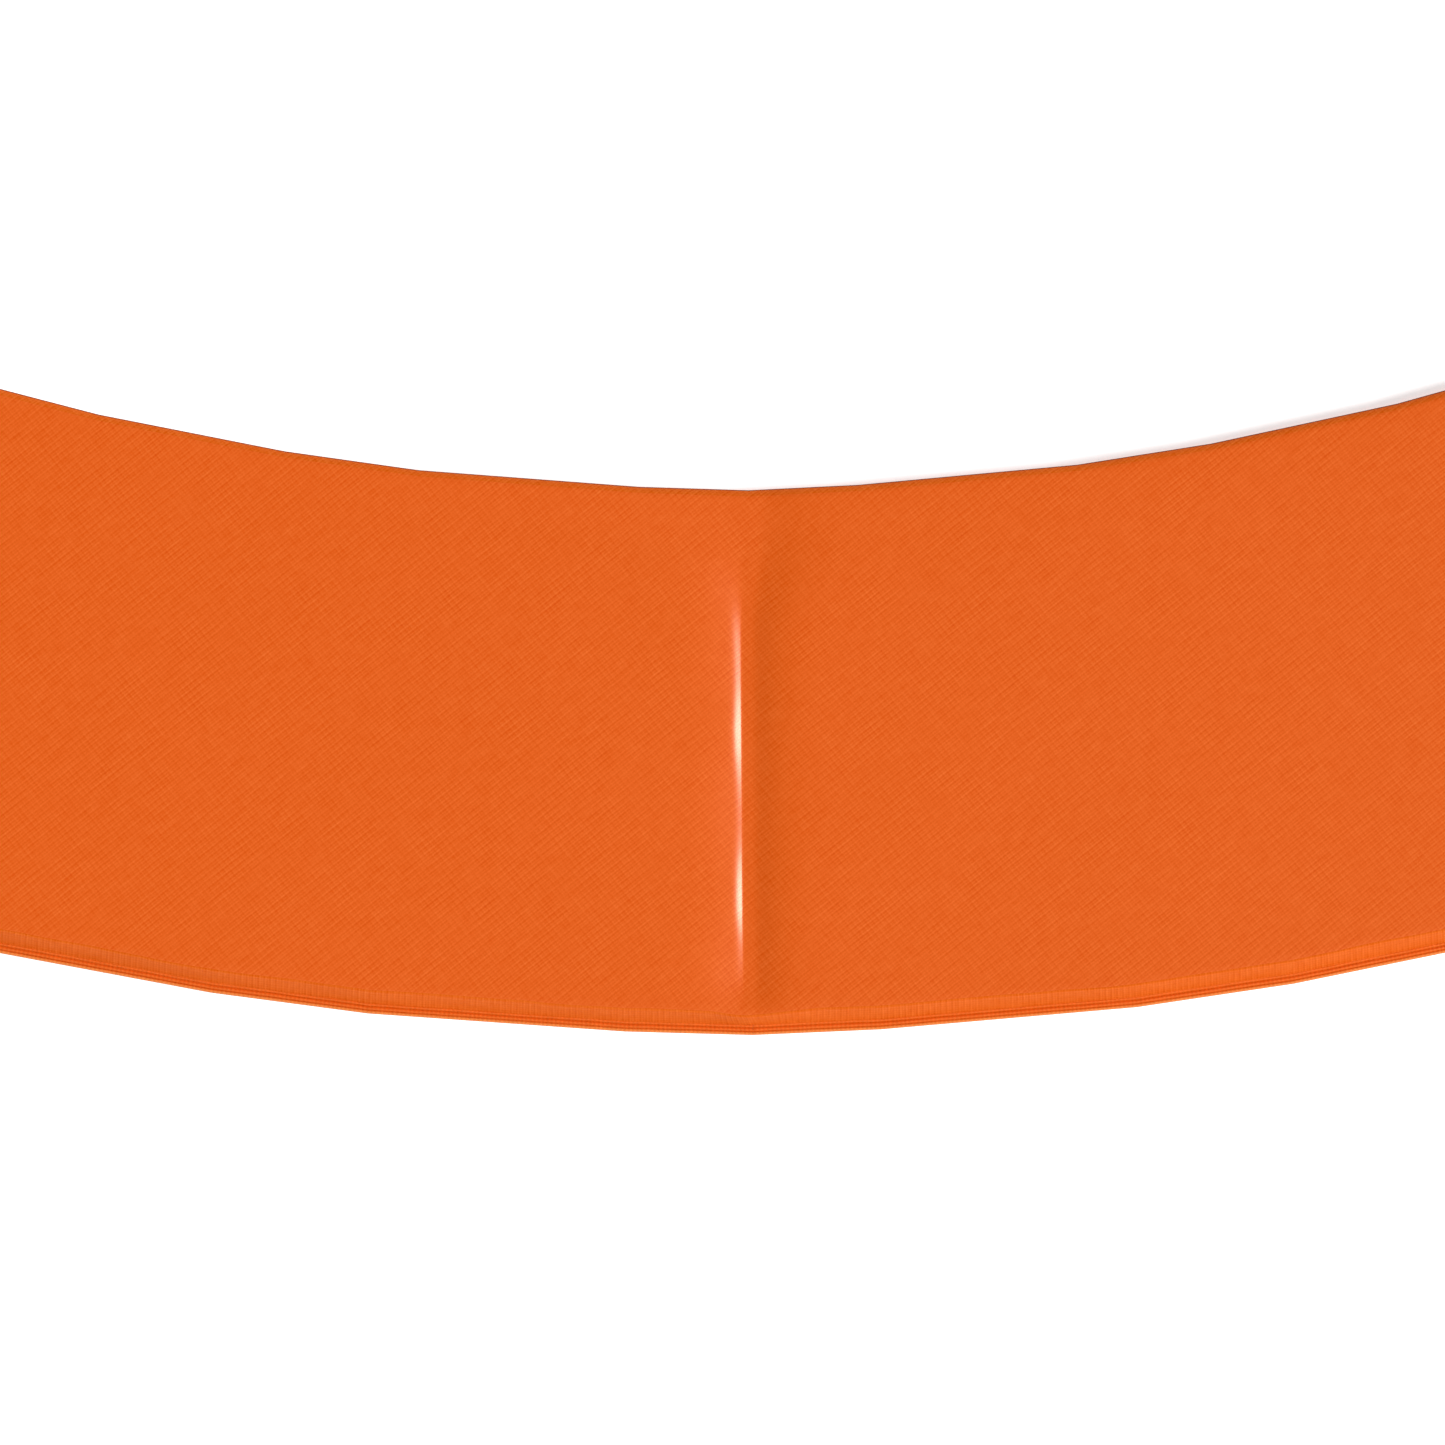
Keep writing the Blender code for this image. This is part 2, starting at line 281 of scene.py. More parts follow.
def ripple(x, y, number, wavelength):
    """Smooth unevenness, about -1 to 1, different on each segment."""
    random = np.random.default_rng(100 + number)
    waves = 7
    total = np.zeros_like(x)
    for _ in range(waves):
        way = random.uniform(0, 2 * math.pi)
        length = wavelength * random.uniform(0.7, 1.6)
        phase = random.uniform(0, 2 * math.pi)
        total += np.sin(2 * math.pi * (x * math.cos(way) + y * math.sin(way)) / length + phase)
    return total / waves * 1.6


def gentle(distance, start, reach):
    """A soft shoulder's share of the groove's depth, 1 at the crease."""
    t = np.maximum(distance - start, 0) / reach
    return (1 + t) * np.exp(-t)


def tightness(across, width, number):
    """The slope of the tight shoulder before a segment's last seam, and its length."""
    where, share, length = np.array(TIGHTNESS).T
    level = 1.0
    if number != SEGMENTS:
        # The other seams have their own unevenness
        random = np.random.default_rng(500 + number)
        across = across + random.uniform(-0.02, 0.02)
        level = random.uniform(0.6, 1.0)
        if number % 2:
            across = width - across + 0.04
    blur = np.linspace(-0.003, 0.003, 5)
    share = sum(np.interp(across + b, where, share) for b in blur) / len(blur)
    return level * STEEP_SLOPE * share, np.interp(across, where, length)


def steep(distance, slope, length):
    """Height lost on the tight shoulder: an even slope that rounds off at its start."""
    return slope * STEEP_ROUND * np.log1p(np.exp((length - distance) / STEEP_ROUND))


def crease_shift(across, width):
    """How far before the seam's plane the crease lies."""
    body = 0.25 * ease(across, 0.0, 0.012) + 0.75 * ease(across, 0.022, 0.066)
    tail = ease(width - across, 0.0, 0.016)
    return CREASE_SHIFT * body * tail * (0.98 + 0.10 * across / width)


def shift_seams(points, across, width):
    """Plan points moved with the creases at both seams, and their distances from these."""
    from_start = np.maximum(points @ START_NORMAL, 0)
    from_end = np.maximum(points @ END_NORMAL, 0)
    shift = crease_shift(across, width)
    near_start = np.exp(-((from_start / CREASE_SHIFT_FADE) ** 2))
    near_end = np.exp(-((from_end / CREASE_SHIFT_FADE) ** 2))
    moved = points - START_NORMAL * (shift * near_start)[..., None]
    moved = moved + END_NORMAL * (shift * near_end)[..., None]
    after = from_start + shift * (1 - near_start)
    before = np.maximum(from_end - shift * (1 - near_end), 0)
    return moved, after, before


def groove_depth(across, width):
    """The groove grows shallower towards both edges of the pad."""
    depth = SEAM_DEPTH * (0.7 + 0.3 * ease(across, 0.004, 0.030))
    return depth * (0.35 + 0.65 * ease(width - across, 0.008, 0.030))


def drop_after(after, across, width, number):
    """Height lost after a segment's first seam: a soft climb from the groove's flat bottom."""
    widening = 0.0050 * (1 - ease(across, 0.020, 0.070))
    climb = gentle(after, AFTER_START, AFTER_REACH + widening)
    slope_behind, _ = tightness(across, width, number - 1 if number > 1 else SEGMENTS)
    tail = slope_behind * TAIL_REACH * -np.expm1(-after / TAIL_REACH)
    return groove_depth(across, width) * climb + tail * np.exp(-((after / TAIL_FADE) ** 2))


def drop_before(before, across, width, number):
    """Height lost before its last seam: a soft shoulder, and a tight one at the crease."""
    depth = groove_depth(across, width)
    slope, length = tightness(across, width, number)
    share = depth / SEAM_DEPTH
    whole = steep(0.0, slope, length) * share
    widening = 0.0450 * (1 - ease(across, 0.010, 0.054)) ** 2
    soft = gentle(before, BEFORE_START, BEFORE_REACH + widening)
    return (depth - whole) * soft + steep(before, slope, length) * share


def top_height(points, across, width, number):
    """Height of the top panel. across is the distance from the inner edge."""
    _, after, before = shift_seams(points, across, width)
    drop = drop_after(after, across, width, number) + drop_before(before, across, width, number)
    level = ease(np.minimum(after, before), 0.0, 0.04)
    uneven = TOP_UNEVEN * level * ripple(points[..., 0], points[..., 1], number, 0.11)
    crown = CROWN * (1 - (2 * across / width - 1) ** 4)
    edge = EDGE_SAG * np.exp(-across / EDGE_SAG_REACH)
    return PAD_TOP - MARGIN + crown - edge - drop + uneven


def wander(along, number, size):
    """A small waver of a line, by the way along it."""
    random = np.random.default_rng(300 + number)
    total = np.zeros_like(along)
    for length in (0.019, 0.031, 0.052, 0.094, 0.21):
        phase = random.uniform(0, 2 * math.pi)
        total += np.sin(2 * math.pi * along / length + phase) * (length / 0.21) ** 0.35
    return total * size / 3


class Section:
    """A panel's columns, from its inner edge outward: distance, height, unrolled distance."""

    def __init__(self, width):
        self.width = width
        self.columns = []

    def add(self, across, z, unrolled):
        ones = np.ones_like(self.width)
        self.columns.append((across * ones, z * ones, unrolled * ones))

    def whole(self):
        return [np.concatenate(values, axis=1) for values in zip(*self.columns)]


def add_inner_edge(section, edge_top):
    """The inner wall, then the quarter turn over its top."""
    wall_top = edge_top - EDGE_ROUND_DOWN
    quarter = 0.5 * math.pi * (EDGE_ROUND_IN + EDGE_ROUND_DOWN) / 2
    for t in np.linspace(0, 1, 6)[:-1]:
        z = WALL_BOTTOM + (wall_top - WALL_BOTTOM) * t
        section.add(0.0, z, EDGE_ROUND_IN - quarter - (wall_top - z))
    for t in np.linspace(0, 1, 9)[:-1]:
        turn = t * math.pi / 2
        z = wall_top + EDGE_ROUND_DOWN * math.sin(turn)
        section.add(EDGE_ROUND_IN * (1 - math.cos(turn)), z, EDGE_ROUND_IN - quarter * (1 - t))


def add_outer_wall(section, crease, top, bulge):
    """The slanted wall, from the crease to the flange in the hem."""
    width = section.width
    head = width - crease + CREASE_ROUND * 0.5
    foot = width - WALL_FOOT_INSET
    fall = top - CREASE_DROP - WALL_FOOT_Z
    section.add(width - crease, top - CREASE_DROP / 4, width - crease)
    section.add(head, top - CREASE_DROP, head)
    for t in np.linspace(0, 1, 12)[1:]:
        across = head + (foot - head) * t + bulge * math.sin(2 * math.pi * t)
        section.add(across, top - CREASE_DROP - fall * t, across)
    section.add(width - FLANGE_END_INSET, WALL_FOOT_Z - 0.0002, width)


def top_section(inner, outer, number):
    """The top panel's outer surface: points, the flat cloth, distances on the wall, and the
    column where the wall starts."""
    width, way = spans(inner, outer)
    along = running_length(outer)[:, None]
    from_seam = np.minimum(inner @ START_NORMAL, inner @ END_NORMAL)[:, None]
    settled = ease(from_seam, 0.0, CREASE_SETTLE)
    crease = SEAM_CREASE_INSET + (CREASE_INSET - SEAM_CREASE_INSET) * settled
    crease = crease + wander(along, number, CREASE_WANDER) * settled

    def height(across):
        return top_height(lay_out(inner, way, across), across, width, number)

    def in_plan(distance, across):
        return shift_seams(lay_out(inner, way, distance), np.clip(across, 0, width), width)[0]

    section = Section(width)
    add_inner_edge(section, height(EDGE_ROUND_IN * np.ones_like(width)))
    flat_end = width - crease - CREASE_ROUND
    for t in np.linspace(0, 1, 40):
        share = t - 0.5 * math.sin(2 * math.pi * t) / (2 * math.pi)
        across = EDGE_ROUND_IN + (flat_end - EDGE_ROUND_IN) * share
        section.add(across, height(across), across)
    crease_column = len(section.columns) - 1
    bulge = WALL_BULGE + WALL_UNEVEN * ripple(along, along * 0, number, 0.04)
    add_outer_wall(section, crease, height(flat_end), bulge)

    across, z, unrolled = section.whole()
    slopes = np.hypot(np.diff(across, axis=1), np.diff(z, axis=1))
    slant = np.concatenate([np.zeros_like(width), np.cumsum(slopes, axis=1)], axis=1)
    wall_uv = np.stack(np.broadcast_arrays(slant, along), axis=-1)
    points = np.concatenate([in_plan(across, across), z[..., None]], axis=-1)
    return points, in_plan(unrolled, across), wall_uv, crease_column


def weave_uv(flat):
    """Distances along and across the weave's tapes, for a point of the flat cloth."""
    c, s = math.cos(WEAVE_ANGLE), math.sin(WEAVE_ANGLE)
    x, y = flat[..., 0], flat[..., 1]
    return np.stack([x * c + y * s, -x * s + y * c], axis=-1)


def pocket_height(points, across, width):
    """How far the bottom panel rises over the strap."""
    middle = 1 - ease(
        np.abs(points[..., 1]), POCKET_HALF_WIDTH - 0.001, POCKET_HALF_WIDTH + POCKET_SLOPE
    )
    inset = width - across
    outer_end = ease(inset, POCKET_OUTER - POCKET_SLOPE, POCKET_OUTER + 0.001)
    inner_end = 1 - ease(inset, POCKET_INNER - 0.001, POCKET_INNER + POCKET_SLOPE)
    return POCKET_DEPTH * middle * outer_end * inner_end


def bottom_section(inner, outer, number):
    """The bottom panel's underside, from the inner edge to the flange in the hem."""
    width, way = spans(inner, outer)
    ones = np.ones_like(width)
    across = [distance * ones for distance, _ in UNDERSIDE_START]
    rise = [z for _, z in UNDERSIDE_START]
    across += [(width - UNDERSIDE_END) * t for t in np.linspace(0.004, 1, 46)]
    rise += [0.0] * (len(across) - len(rise))
    across += [width - inset for inset, _ in FLANGE_RISE]
    rise += [z for _, z in FLANGE_RISE]
    across = np.concatenate(across, axis=1)
    plan = lay_out(inner, way, across)
    uneven = UNDERSIDE_UNEVEN * (1 + ripple(plan[..., 0], plan[..., 1], number + 20, 0.09))
    settled = ease(across, 0.004, 0.02) * ease(width - across, 0.008, 0.03)
    z = np.array(rise) + pocket_height(plan, across, width) + uneven * settled
    return np.concatenate([plan, z[..., None]], axis=-1), plan


# ---- meshes ---------------------------------------------------------------------------------
def grid_mesh(name, points, uvs, flip=False):
    """A sheet from rows and columns of points. uvs holds four corners for each face."""
    rows, columns = points.shape[:2]
    index = np.arange(rows * columns).reshape(rows, columns)
    corners = [index[:-1, :-1], index[:-1, 1:], index[1:, 1:], index[1:, :-1]]
    if flip:
        corners.reverse()
        uvs = uvs[:, :, ::-1]
    faces = np.stack(corners, axis=-1).reshape(-1, 4)
    mesh = bpy.data.meshes.new(name)
    mesh.from_pydata(points.reshape(-1, 3).tolist(), [], faces.tolist())
    layer = mesh.uv_layers.new(name="weave")
    layer.data.foreach_set("uv", uvs.reshape(-1).astype(np.float32))
    mesh.shade_smooth()
    return mesh


def corner_uvs(uv):
    """The four corners of each face, from values at the points."""
    return np.stack([uv[:-1, :-1], uv[:-1, 1:], uv[1:, 1:], uv[1:, :-1]], axis=2)


def tube_mesh(name, rings, uv_rings):
    """A closed solid through rings of points, with flat ends."""
    rows, count = rings.shape[:2]
    index = np.arange(rows * count).reshape(rows, count)
    after = np.roll(index, -1, axis=1)
    faces = np.stack([index[:-1], after[:-1], after[1:], index[1:]], axis=-1)
    faces = faces.reshape(-1, 4).tolist()
    faces += [index[0][::-1].tolist(), index[-1].tolist()]
    mesh = bpy.data.meshes.new(name)
    mesh.from_pydata(rings.reshape(-1, 3).tolist(), [], faces)
    layer = mesh.uv_layers.new(name="weave")
    flat = np.array(uv_rings, np.float32).reshape(-1, 2)
    loops = np.zeros(len(mesh.loops), np.int32)
    mesh.loops.foreach_get("vertex_index", loops)
    layer.data.foreach_set("uv", flat[loops].reshape(-1))
    mesh.shade_smooth()
    return mesh


def add_piece(name, mesh, material):
    piece = bpy.data.objects.new(name, mesh)
    bpy.context.scene.collection.objects.link(piece)
    mesh.materials.append(material)
    return piece


def thicken(piece, thickness):
    """Gives an open sheet its thickness, on the inner side."""
    solid = piece.modifiers.new("thickness", "SOLIDIFY")
    solid.thickness = thickness
    solid.offset = -1
    solid.use_even_offset = False


# ---- materials ------------------------------------------------------------------------------
class Graph:
    """Short calls for building a material's nodes."""

    def __init__(self, name):
        self.material = bpy.data.materials.new(name)
        self.material.use_nodes = True
        self.nodes = self.material.node_tree.nodes
        self.links = self.material.node_tree.links
        self.shader = self.nodes["Principled BSDF"]

    def put(self, socket, value):
        if isinstance(value, bpy.types.NodeSocket):
            self.links.new(value, socket)
        else:
            socket.default_value = value

    def math(self, operation, a, b=None):
        node = self.nodes.new("ShaderNodeMath")
        node.operation = operation
        self.put(node.inputs[0], a)
        if b is not None:
            self.put(node.inputs[1], b)
        return node.outputs[0]

    def times(self, a, b):
        return self.math("MULTIPLY", a, b)

    def plus(self, a, b):
        return self.math("ADD", a, b)

    def wave(self, value, length):
        """A sine of value with that wavelength, -1 to 1."""
        return self.math("SINE", self.times(value, 2 * math.pi / length))

    def vector(self, x, y):
        node = self.nodes.new("ShaderNodeCombineXYZ")
        self.put(node.inputs["X"], x)
        self.put(node.inputs["Y"], y)
        return node.outputs[0]

    def noise(self, vector, scale=1.0, detail=2.0):
        """Noise from -1 to 1."""
        node = self.nodes.new("ShaderNodeTexNoise")
        node.inputs["Scale"].default_value = scale
        node.inputs["Detail"].default_value = detail
        self.put(node.inputs["Vector"], vector)
        return self.times(self.plus(node.outputs["Fac"], -0.5), 2.0)

    def uv(self):
        """The two distances stored on the mesh."""
        node = self.nodes.new("ShaderNodeUVMap")
        node.uv_map = "weave"
        split = self.nodes.new("ShaderNodeSeparateXYZ")
        self.links.new(node.outputs["UV"], split.inputs[0])
        return split.outputs["X"], split.outputs["Y"]

    def tint(self, colour, shade):
        """colour times the number shade."""
        node = self.nodes.new("ShaderNodeVectorMath")
        node.operation = "SCALE"
        node.inputs[0].default_value = colour
        self.put(node.inputs["Scale"], shade)
        return node.outputs[0]

    def added(self, colour, amount, base):
        """base plus that amount of colour."""
        node = self.nodes.new("ShaderNodeVectorMath")
        node.operation = "MULTIPLY_ADD"
        node.inputs[0].default_value = colour
        self.put(node.inputs[1], amount)
        self.put(node.inputs[2], base)
        return node.outputs[0]

    def bump(self, height, distance):
        node = self.nodes.new("ShaderNodeBump")
        node.inputs["Distance"].default_value = distance
        self.put(node.inputs["Height"], height)
        self.links.new(node.outputs["Normal"], self.shader.inputs["Normal"])

    def grain(self, scale):
        """Noise fixed to the piece itself."""
        return self.noise(self.nodes.new("ShaderNodeTexCoord").outputs["Object"], scale=scale)

    def set(self, **values):
        """Inputs of the surface by name, with _ for a space."""
        for name, value in values.items():
            self.put(self.shader.inputs[name.replace("_", " ")], value)

    def gloss(self, level):
        self.shader.inputs["Specular IOR Level"].default_value = level
        self.shader.inputs["Specular Tint"].default_value = GLOSS_TINT


def tarpaulin(name, colour, roughness, specular):
    """Coated polyethylene tarpaulin: two sets of tapes, uneven threads and faint mottling."""
    g = Graph(name)
    along, across = g.uv()
    patch = g.plus(1.0, g.times(g.noise(g.vector(along, across), scale=55.0), 0.9))
    threads = g.times(g.wave(across, TAPE_ACROSS), 0.029)
    for place, length, depth in (
        (across, 2 * TAPE_ACROSS, 0.018),
        (along, 2 * TAPE_ALONG, 0.0145),
        (along, TAPE_ALONG, 0.010),
    ):
        threads = g.plus(threads, g.times(g.wave(place, length), depth))
    threads = g.times(threads, patch)
    for fine_along, fine_across, depth in SLUBS:
        place = g.vector(g.times(along, fine_along), g.times(across, fine_across))
        threads = g.plus(threads, g.times(g.noise(place, detail=1.0), depth))
    mottle = g.noise(g.vector(g.times(along, 0.45), across), scale=24.0, detail=3.0)
    even = g.tint(colour, g.plus(1.0, g.times(mottle, 0.012)))
    g.set(Base_Color=g.added(WEAVE_TINT, threads, even))
    g.set(Roughness=g.plus(roughness, g.times(mottle, 0.02)))
    g.gloss(specular)
    g.bump(threads, 0.00004)
    return g.material


def hem_tape(name, colour):
    """Folded binding tape, with fine ribs across it."""
    g = Graph(name)
    around, along = g.uv()
    ribs = g.wave(along, RIB_PITCH)
    grain = g.noise(g.vector(g.times(around, 900.0), g.times(along, 160.0)), detail=1.0)
    shade = g.plus(1.0, g.plus(g.times(ribs, 0.03), g.times(grain, 0.10)))
    g.set(Base_Color=g.tint(colour, shade), Roughness=0.38)
    g.gloss(0.45)
    g.bump(g.plus(ribs, grain), 0.00005)
    return g.material


def webbing(name, colour):
    """Knitted elastic: ribs along the strap and a fine herringbone across."""
    g = Graph(name)
    along, across = g.uv()
    ribs = g.wave(across, RIB_PITCH)
    slant = g.wave(g.plus(along, g.math("PINGPONG", across, RIB_PITCH / 2)), KNIT_PITCH)
    height = g.plus(g.times(ribs, 0.6), g.times(slant, 0.4))
    g.set(Base_Color=g.tint(colour, g.plus(1.0, g.times(height, 0.35))), Roughness=0.82)
    g.shader.inputs["Sheen Weight"].default_value = 0.25
    g.bump(height, 0.00025)
    return g.material


def moulded_plastic(name, colour):
    g = Graph(name)
    wear = g.grain(90.0)
    g.set(Base_Color=g.tint(colour, g.plus(1.0, g.times(wear, 0.25))))
    g.set(Roughness=g.plus(0.42, g.times(wear, 0.06)))
    g.bump(g.grain(1400.0), 0.00003)
    return g.material


def foam(name, colour):
    """Closed-cell foam, with its small cells."""
    g = Graph(name)
    coordinates = g.nodes.new("ShaderNodeTexCoord")
    cells = g.nodes.new("ShaderNodeTexVoronoi")
    cells.inputs["Scale"].default_value = 420.0
    g.links.new(coordinates.outputs["Object"], cells.inputs["Vector"])
    g.set(Base_Color=g.tint(colour, g.plus(0.92, g.times(cells.outputs["Distance"], 0.16))))
    g.set(Roughness=0.8)
    g.bump(cells.outputs["Distance"], 0.0004)
    return g.material


def thread(name, colour):
    g = Graph(name)
    u, v = g.uv()
    twist = g.wave(g.plus(u, g.times(v, 0.7)), 0.0006)
    g.set(Base_Color=g.tint(colour, g.plus(1.0, g.times(twist, 0.2))), Roughness=0.6)
    g.bump(twist, 0.00005)
    return g.material


def shade_of(colour, share):
    return tuple(c * share for c in colour)


COVER = tarpaulin("orange tarpaulin", ORANGE, 0.30, 0.64)
# The walls and the inner rounding take a darker copy of the cover: painted shade
SHADED_SIDE = tarpaulin("orange tarpaulin side painted shade", SHADED_WALL_ORANGE, 0.50, 0.06)
# The orange at 0.30 of its colour on the inner wall: painted shade, for a dark line along the
# inner edge
INNER_WALL_PAINTED_SHADE = tarpaulin("orange tarpaulin inner wall painted shade", shade_of(ORANGE, INNER_WALL_SHADE_SHARE), 0.50, 0.10)
UNDER = tarpaulin("orange tarpaulin underside", shade_of(ORANGE, UNDER_SHADE), 0.50, 0.25)
# The hem tape's colour is lightened against the shade it sits in: painted light
HEM = hem_tape("orange hem tape", LIT_HEM_ORANGE)
# A lighter copy of the hem tape for its outermost ridge: painted highlight
HEM_RIDGE_HIGHLIGHT = hem_tape("orange hem tape ridge, painted highlight", RIDGE_HIGHLIGHT_ORANGE)
ELASTIC = webbing("black elastic", BLACK_ELASTIC)
PLASTIC = moulded_plastic("black plastic", BLACK_PLASTIC)
FOAM = foam("white foam", FOAM_WHITE)
THREAD = thread("black thread", BLACK_THREAD)


# ---- covers, hem and foam ---------------------------------------------------------------------
def half_of(number):
    return RIGHT if number <= SEGMENTS // 2 else LEFT


def joined(rows_of_each):
    """Rows of neighbouring segments as one sheet: the seam's row is shared."""
    return np.concatenate([rows_of_each[0], *[rows[1:] for rows in rows_of_each[1:]]])


def settle(piece, numbers, kind):
    """Hides the CAD parts a piece of these segments replaces, and attaches a piece of one segment
    to its half.
    """
    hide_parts(*[f"{kind}_{n}" for n in numbers])
    if len(numbers) == 1:
        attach(piece, half_of(numbers[0]))
        return
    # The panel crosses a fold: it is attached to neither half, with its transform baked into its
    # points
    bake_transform(piece)


def label(kind, numbers):
    return "_".join([kind, *map(str, numbers)])


def make_top(numbers):
    """The top panel: cover on top, and darker copies of the cover on the inner edge and the
    walls, as painted shade.
    """
    points, faces_uv = [], []
    inner, outer = segment_stations(26, 0.012)
    for number in numbers:
        surface, flat, wall_uv, crease = top_section(inner, outer, number)
        uv = corner_uvs(weave_uv(turned(flat, number)))
        uv[:, crease:] = corner_uvs(wall_uv)[:, crease:]
        points.append(turned(surface, number))
        faces_uv.append(uv)
    mesh = grid_mesh(label("top_panel", numbers), joined(points), np.concatenate(faces_uv))
    piece = add_piece(mesh.name, mesh, COVER)
    piece.data.materials.append(SHADED_SIDE)
    piece.data.materials.append(INNER_WALL_PAINTED_SHADE)
    columns = points[0].shape[1] - 1
    column = np.arange(len(mesh.polygons)) % columns
    # Painted shade: the inner rounding and the outer wall take the darker copy of the cover
    slot = np.where((column < INNER_EDGE_COLUMNS) | (column >= crease), 1, 0)
    # The inner wall faces take the darkest copy of the cover: painted shade
    slot[column < INNER_WALL_COLUMNS] = 2
    mesh.polygons.foreach_set("material_index", slot.astype(np.int32))
    thicken(piece, SHEET)
    settle(piece, numbers, "top_cover")


def make_bottom(numbers):
    points, faces_uv = [], []
    inner, outer = segment_stations(14, 0.016, pocket=True)
    for number in numbers:
        surface, flat = bottom_section(inner, outer, number)
        points.append(turned(surface, number))
        faces_uv.append(corner_uvs(weave_uv(turned(flat, number))))
    name = label("bottom_panel", numbers)
    mesh = grid_mesh(name, joined(points), np.concatenate(faces_uv), flip=True)
    piece = add_piece(name, mesh, UNDER)
    thicken(piece, SHEET)
    settle(piece, numbers, "bottom_cover")


# The hem's outline, from its outer edge: distance in, height. Two grooves hold the stitching
HEM_OUTLINE = (
    (0.00000, 0.00140),
    (0.00008, 0.00215),
    (0.00030, 0.00285),
    (0.00065, 0.00335),
    (0.00105, 0.00355),
    (0.00140, 0.00335),
    (0.00172, 0.00230),
    (0.00200, 0.00318),
    (0.00240, 0.00360),
    (0.00280, 0.00370),
    (0.00320, 0.00360),
    (0.00352, 0.00318),
    (0.00375, 0.00240),
    (0.00395, 0.00325),
    (0.00425, 0.00370),
    (0.00460, 0.00395),
    (0.00500, 0.00395),
    (0.00520, 0.00350),
    (0.00480, 0.00190),
    (0.00430, 0.00080),
    (0.00390, 0.00032),
    (0.00250, 0.00030),
    (0.00080, 0.00032),
    (0.00020, 0.00070),
)
HIGHLIGHT_RIDGE_FACES = (1, 2, 3, 4, 5)  # of the outermost ridge, coloured much lighter as a painted highlight


def make_hem(numbers):
    rings, uv_rings = [], []
    outline = np.array(HEM_OUTLINE)
    around = running_length(outline)
    inner, outer = segment_stations(14, 0.010)
    along = running_length(outer)
    _, way = spans(inner, outer)
    for number in numbers:
        waver = 1 + wander(along, number + 40, 0.05)
        inset = outline[None, :, 0] * waver[:, None]
        plan = lay_out(outer, -way, inset)
        z = np.broadcast_to(outline[:, 1], inset.shape)[..., None]
        rings.append(turned(np.concatenate([plan, z], axis=-1), number))
        uv = np.stack(np.broadcast_arrays(around[None, :], along[:, None]), axis=-1)
        uv_rings.append(uv)
    name = label("hem_tape", numbers)
    piece = add_piece(name, tube_mesh(name, joined(rings), joined(uv_rings)), HEM)
    piece.data.materials.append(HEM_RIDGE_HIGHLIGHT)
    place = np.arange(len(piece.data.polygons)) % len(outline)
    # The outermost ridge's faces take the lighter copy: painted highlight
    ridge = np.isin(place, HIGHLIGHT_RIDGE_FACES).astype(np.int32)
    piece.data.polygons.foreach_set("material_index", ridge)
    settle(piece, numbers, "hem_binding")


def make_foam(number):
    """The foam slab inside one segment, with rounded edges and the strap's recess."""
    inner, outer = segment_stations(14, 0.020, pocket=True)
    beside_seams = slice(7, -7)  # the foam stops this many stations short of each seam
    inner, outer = inner[beside_seams], outer[beside_seams]
    width, way = spans(inner, outer)
    low, lift, gap = SHEET + 0.0006, 0.0009, 0.0006
    shares = np.linspace(0, 1, 16)
    start = 0.0016
    foot = width - 0.0086
    crest = width - CREASE_INSET - SHEET - 0.0016
    under = [start + 0.0010 + (foot - start - 0.0020) * t for t in shares]
    over = [start + 0.0040 + (crest - start - 0.0050) * t for t in shares[::-1]]
    across = np.concatenate(under + over + [start * np.ones_like(width)] * 2, axis=1)
    plan = lay_out(inner, way, across)
    bottom = low + pocket_height(plan, across, width)
    top = top_height(plan, across, width, number) - SHEET - gap
    count = len(shares)
    z = np.concatenate([bottom[:, :count], top[:, count:-2]], axis=1)
    ends = np.concatenate([top[:, -2:-1] - 0.0050, bottom[:, -1:] + lift], axis=1)
    rings = np.concatenate([plan, np.concatenate([z, ends], axis=1)[..., None]], axis=-1)
    rings = turned(rings, number)
    name = f"foam_slab_{number}"
    piece = add_piece(name, tube_mesh(name, rings[:, ::-1], rings[:, ::-1, :2]), FOAM)
    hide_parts(f"foam_core_{number}")
    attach(piece, half_of(number))


# ---- straps ----------------------------------------------------------------------------------
def strap_frame(number):
    """From the strap's own axes, +X outward and the origin on its hinge, to the ring's."""
    angle = bearing(number)
    reach = MIDDLE_REACH - PIVOT_INSET
    place = Vector((reach * math.cos(angle), reach * math.sin(angle), PIVOT_Z))
    return Matrix.Translation(place) @ Matrix.Rotation(angle, 4, "Z")


def ribbon(name, path, width, thickness):
    """A flat elastic strap along a path in the X-Z plane."""
    path = np.array(path, float)
    along = running_length(path)
    tangent = np.gradient(path, along, axis=0)
    tangent /= np.linalg.norm(tangent, axis=1)[:, None]
    normal = np.stack([-tangent[:, 1], tangent[:, 0]], axis=1)
    half, deep, bevel = width / 2, thickness / 2, 0.0004
    sides = np.linspace(-1, 1, 9) * (half - bevel)
    under, over = [(y, -deep) for y in sides], [(y, deep) for y in sides[::-1]]
    ring = np.array([(-half, 0.0), *under, (half, 0.0), *over])
    rings = np.zeros((len(path), len(ring), 3))
    rings[..., 0] = path[:, None, 0] + normal[:, None, 0] * ring[None, :, 1]
    rings[..., 1] = ring[None, :, 0]
    rings[..., 2] = path[:, None, 1] + normal[:, None, 1] * ring[None, :, 1]
    uv = np.stack(np.broadcast_arrays(along[:, None], ring[None, :, 0]), axis=-1)
    return add_piece(name, tube_mesh(name, rings, uv), ELASTIC)


